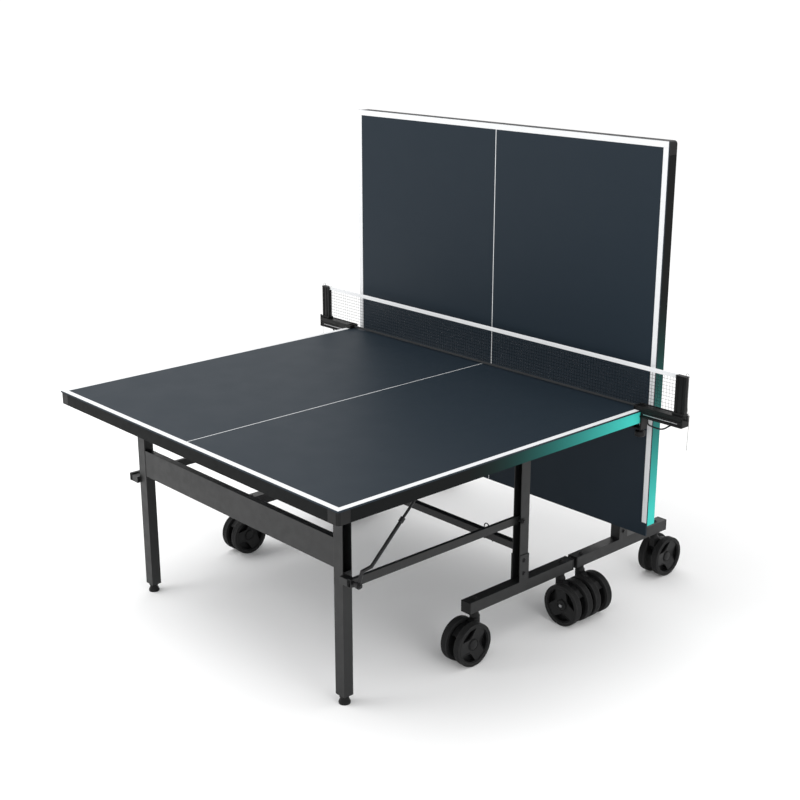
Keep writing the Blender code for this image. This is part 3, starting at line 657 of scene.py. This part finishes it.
def make_post_detail():
    """Clamp bracket and flanged arm, flat grooved post, slide bar, wire loop and hand knob."""
    for hand, side in SIDES:
        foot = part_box(f"{hand}_net_post")[0].z

        def slab(bm, inner, outer, y0, y1, z0, z1):
            """A box on this side, from the right side's x values."""
            add_box(bm, (min(side * inner, side * outer), NET_MIDDLE + y0, z0),
                    (max(side * inner, side * outer), NET_MIDDLE + y1, z1))

        bm = bmesh.new()
        slab(bm, ARM_INNER, ARM_OUTER, -ARM_HALF, ARM_HALF, 0.7603, 0.7690)
        slab(bm, 0.7645, 0.9350, -0.0170, 0.0170, 0.7390, 0.7725)
        slab(bm, 0.7635, 0.7695, -0.0160, 0.0160, foot + 0.0005, 0.7400)
        slab(bm, 0.7245, 0.7690, -0.0150, 0.0190, foot, foot + 0.0055)
        slab(bm, 0.9350, 0.9485, -0.0100, -0.0040, 0.7630, 0.7690)
        slab(bm, 0.9445, 0.9485, -0.0100, -0.0040, 0.7640, 0.7840)
        for y in (0.0005 - ARM_HALF, ARM_HALF - 0.0005):
            for inner, z0, z1 in ((0.7380, 0.7690, FLANGE_TOP), (0.7640, 0.7368, 0.7420),
                                  (0.8200, 0.7540, 0.7560)):
                slab(bm, inner, 0.9362, y - 0.0010, y + 0.0010, z0, z1)
        slab(bm, 0.7375, 0.7420, -ARM_HALF, ARM_HALF, 0.7630, FLANGE_TOP)
        slab(bm, 0.9325, 0.9364, -ARM_HALF, ARM_HALF, 0.7380, FLANGE_TOP)
        arm = wrap(f"{hand}_clamp_arm", bm, "plastic", "near_top", bevel=0.0008)
        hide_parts(f"{hand}_net_post")
        bm = bmesh.new()
        front = [(POST_INNER, POST_FACE)]
        for start, end in POST_GROOVES:
            front += [(start, POST_FACE), (start, GROOVE_FLOOR), (end, GROOVE_FLOOR),
                      (end, POST_FACE)]
        front.append((POST_OUTER, POST_FACE))
        outline = front + [(x, -y) for x, y in reversed(front)]
        add_section(bm, [(side * x, NET_MIDDLE + y) for x, y in outline], 0.7700, 0.9088)
        slab(bm, 0.8912, 0.9340, -0.0092, 0.0092, 0.9060, 0.9108)
        slab(bm, 0.8890, 0.9345, -0.0130, 0.0130, 0.7715, 0.7830)
        wrap(f"{hand}_grooved_post", bm, "plastic", "near_top", bevel=0.0008)
        bm = bmesh.new()
        for z in (0.7470, 0.7620):
            slab(bm, 0.7760, 0.9150, -0.0182, 0.0182, z, z + 0.0026)
        wrap(f"{hand}_slide_bar", bm, "steel", "near_top", bevel=0.0006)
        bm = bmesh.new()
        loop = [(side * x, NET_MIDDLE, z) for x, z in WIRE_LOOP]
        add_wire(bm, smooth_route(loop, 5), 0.0028, 10)
        wrap(f"{hand}_arm_wire", bm, "dark_steel", "near_top")
        lo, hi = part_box(f"{hand}_clamp_screw")
        middle = (lo + hi) / 2
        bm = bmesh.new()
        add_lathe(bm, KNOB, 14, Matrix.Translation((middle.x, middle.y, lo.z)))
        wrap(f"{hand}_knob", bm, "plastic", f"{hand}_screw", bevel=0.0010)


# ---------------------------------------------------------------- studio
FLOOR_REACH = 30.0
FLOOR_LEVEL = -0.0006
SKY_LIGHT = 1.1
LAMPS = (                       # name, place, aim, size in metres, power in watts
    ("key", (-2.0, -2.0, 5.0), (0, 0, 0.6), 4.0, 120),
    ("fill", (-3.0, -5.0, 2.0), (-0.3, -0.6, 0.4), 2.5, 55),
    ("side", (5.5, -1.0, 2.0), (0, 0, 0.4), 2.5, 70),
)


def make_studio():
    """A pale floor under an even white sky, and three soft lamps."""
    g = Graph("floor_paper")
    g.set(Base_Color=rgb(0.93, 0.93, 0.93), Roughness=0.9, Specular_IOR_Level=0.1)
    bm = bmesh.new()
    bm.faces.new([bm.verts.new((x * FLOOR_REACH, y * FLOOR_REACH, FLOOR_LEVEL))
                  for x, y in ((-1, -1), (1, -1), (1, 1), (-1, 1))])
    mesh = bpy.data.meshes.new("floor")
    bm.to_mesh(mesh)
    bm.free()
    mesh.materials.append(g.material)
    floor = bpy.data.objects.new("floor", mesh)
    bpy.context.scene.collection.objects.link(floor)

    world = bpy.data.worlds.new("studio")
    world.use_nodes = True
    sky = world.node_tree.nodes["Background"]
    sky.inputs["Color"].default_value = (1, 1, 1, 1)
    sky.inputs["Strength"].default_value = SKY_LIGHT
    bpy.context.scene.world = world
    bpy.context.scene.view_settings.view_transform = "Standard"

    for name, place, aim, size, power in LAMPS:
        lamp = bpy.data.lights.new(name, "AREA")
        lamp.size = size
        lamp.energy = power
        made = bpy.data.objects.new(name, lamp)
        bpy.context.scene.collection.objects.link(made)
        made.location = place
        made.rotation_euler = (Vector(aim) - Vector(place)).to_track_quat("-Z", "Y").to_euler()
        made.visible_glossy = name == "key"     # the low lamps leave no glare on the boards


VIEW_AZIMUTH, VIEW_ELEVATION = radians(47.513), radians(17.464)
VIEW_DISTANCE = 4.775
VIEW_LENS = (59.59, 36.0)       # focal length and sensor width in millimetres
VIEW_TARGET = Vector((-0.0108, NET_LINE - 0.4323, 0.700))


def make_camera():
    """A view from the front right corner, a little above the playing surface."""
    back = Vector((sin(VIEW_AZIMUTH) * cos(VIEW_ELEVATION), -cos(VIEW_AZIMUTH) * cos(VIEW_ELEVATION),
                   sin(VIEW_ELEVATION)))
    optics = bpy.data.cameras.new("view")
    optics.lens, optics.sensor_width = VIEW_LENS
    camera = bpy.data.objects.new("view", optics)
    bpy.context.scene.collection.objects.link(camera)
    camera.location = VIEW_TARGET + back * VIEW_DISTANCE
    camera.rotation_euler = (-back).to_track_quat("-Z", "Y").to_euler()
    bpy.context.scene.camera = camera


def main():
    """The whole scene, camera and cords first."""
    make_camera()
    dress_nodes()
    make_cords()
    make_lines()
    make_net()
    make_castors()
    for half in ("near", "far"):
        make_chassis_detail(half)
        make_leg_detail(half)
    make_post_detail()
    make_studio()


main()
